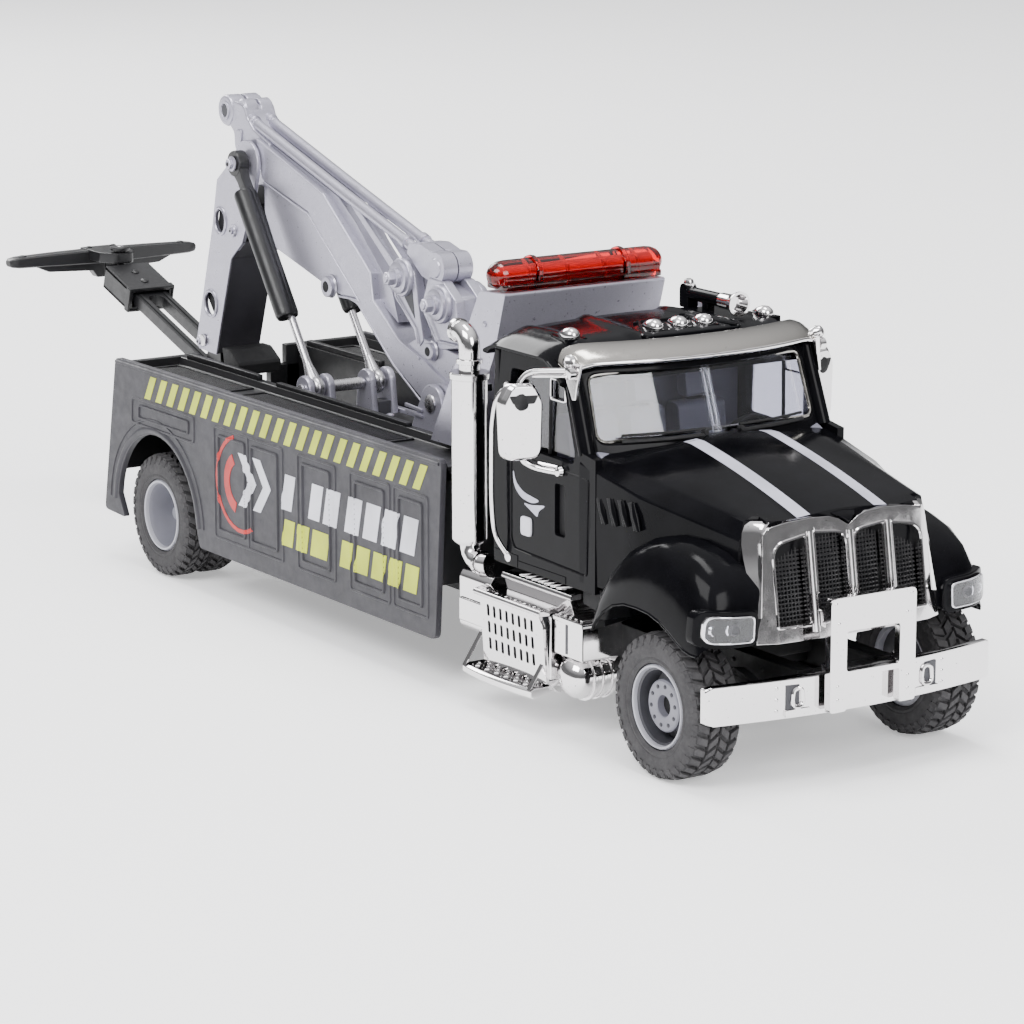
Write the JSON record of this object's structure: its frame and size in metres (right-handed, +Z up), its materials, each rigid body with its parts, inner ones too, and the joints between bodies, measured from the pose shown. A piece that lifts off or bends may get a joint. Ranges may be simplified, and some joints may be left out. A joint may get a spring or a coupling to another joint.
{
  "type": "toy tow truck",
  "caption": "Die-cast toy tow truck with a bonneted cab, deck body, lifting boom on hydraulic cylinders, tilting mast, folding wheel-lift arm and freely rolling wheels.",
  "frame": {"origin": "on the ground under the middle of the truck", "axes": "+X forward along the truck, +Y to its left, +Z up"},
  "size_m": [0.2456, 0.0632, 0.0849],
  "materials": {
    "black_paint": "gloss",
    "charcoal_plastic": "satin",
    "black_plastic": "satin",
    "silver_paint": "metallic",
    "chrome_trim": "polished",
    "steel": "polished",
    "tyre_rubber": "matte",
    "rim_grey": "satin",
    "clear_lens": "clear",
    "red_lens": "gloss",
    "grey_plastic": "matte"
  },
  "bodies": {
    "truck": {"cab_shell": "black_paint", "body_side_left": "charcoal_plastic", "body_side_right": "charcoal_plastic", "chassis_frame": "black_plastic", "deck": "black_plastic", "grille_mesh": "black_plastic", "headboard": "silver_paint", "boom_base": "silver_paint", "visor_frame": "chrome_trim", "roof_marker_bar": "chrome_trim", "roof_marker_left": "chrome_trim", "roof_marker_right": "chrome_trim", "air_horn": "chrome_trim", "grille_shell": "chrome_trim", "bumper": "chrome_trim", "push_guard": "chrome_trim", "mirror_left": "chrome_trim", "mirror_right": "chrome_trim", "grab_handle_left": "chrome_trim", "grab_handle_right": "chrome_trim", "exhaust_left": "chrome_trim", "exhaust_right": "chrome_trim", "step_left": "chrome_trim", "step_right": "chrome_trim", "air_tank_left": "chrome_trim", "air_tank_right": "chrome_trim", "lift_shaft": "steel", "boom_pivot_pin": "steel", "cab_glazing": "clear_lens", "headlamp_left": "clear_lens", "headlamp_right": "clear_lens", "light_bar_base": "red_lens", "light_bar_lens": "red_lens", "cab_interior": "grey_plastic"},
    "front_wheels": {"axle_front": "steel", "rim_front_left": "rim_grey", "rim_front_right": "rim_grey", "tyre_front_left": "tyre_rubber", "tyre_front_right": "tyre_rubber"},
    "rear_wheels": {"axle_rear": "steel", "rim_rear_left": "rim_grey", "rim_rear_right": "rim_grey", "tyre_rear_left": "tyre_rubber", "tyre_rear_right": "tyre_rubber"},
    "boom_assembly": {"boom": "silver_paint", "tie_rods": "silver_paint", "winch_drum_upper": "silver_paint", "winch_drum_lower": "silver_paint", "boom_head_pin": "steel"},
    "lift_barrels": {"lift_barrel_left": "black_plastic", "lift_barrel_right": "black_plastic"},
    "lift_rods": {"lift_rod_left": "steel", "lift_rod_right": "steel"},
    "mast_assembly": {"mast": "silver_paint", "stinger_pin": "steel"},
    "wheel_lift_arm": {"stinger_arm": "black_plastic"},
    "wheel_lift_sleeve": {"stinger_sleeve": "black_plastic", "swivel_pin": "steel"},
    "wheel_lift_crossbar": {"crossbar": "black_plastic"}
  },
  "joints": [
    {"name": "front_axle_spin", "type": "hinge", "parent": "truck", "child": "front_wheels", "pos_m": [0.1048, 0, 0.0111], "axis": [0, 1, 0], "continuous": true},
    {"name": "rear_axle_spin", "type": "hinge", "parent": "truck", "child": "rear_wheels", "pos_m": [-0.04985, 0, 0.0111], "axis": [0, 1, 0], "continuous": true},
    {"name": "boom_lift", "type": "hinge", "parent": "truck", "child": "boom_assembly", "pos_m": [0.01, 0, 0.039], "axis": [0, 1, 0], "range_deg": [-6, 6]},
    {"name": "lift_barrel_swing", "type": "hinge", "parent": "boom_assembly", "child": "lift_barrels", "pos_m": [-0.0543, 0, 0.0725], "axis": [0, 1, 0], "range_deg": [-2.6, 2.6]},
    {"name": "lift_rod_slide", "type": "slide", "parent": "lift_barrels", "child": "lift_rods", "axis": [0.5897, 0, -0.8076], "range_m": [-0.0034, 0.0034]},
    {"name": "mast_tilt", "type": "hinge", "parent": "boom_assembly", "child": "mast_assembly", "pos_m": [-0.0543, 0, 0.0725], "axis": [0, 1, 0], "range_deg": [-8, 10]},
    {"name": "wheel_lift_fold", "type": "hinge", "parent": "mast_assembly", "child": "wheel_lift_arm", "pos_m": [-0.071, 0, 0.0378], "axis": [0, 1, 0], "range_deg": [-12, 60]},
    {"name": "wheel_lift_extend", "type": "slide", "parent": "wheel_lift_arm", "child": "wheel_lift_sleeve", "axis": [-0.9511, 0, 0.309], "range_m": [-0.004, 0.003]},
    {"name": "crossbar_swivel", "type": "hinge", "parent": "wheel_lift_sleeve", "child": "wheel_lift_crossbar", "pos_m": [-0.1125, 0, 0.0472], "axis": [0, 0, 1], "range_deg": [-25, 25]}
  ],
  "couplings": [
    {"joint": "lift_barrel_swing", "follows": "boom_lift", "ratio": 0.4236},
    {"joint": "lift_rod_slide", "follows": "boom_lift", "m_per_rad": 0.03162}
  ]
}
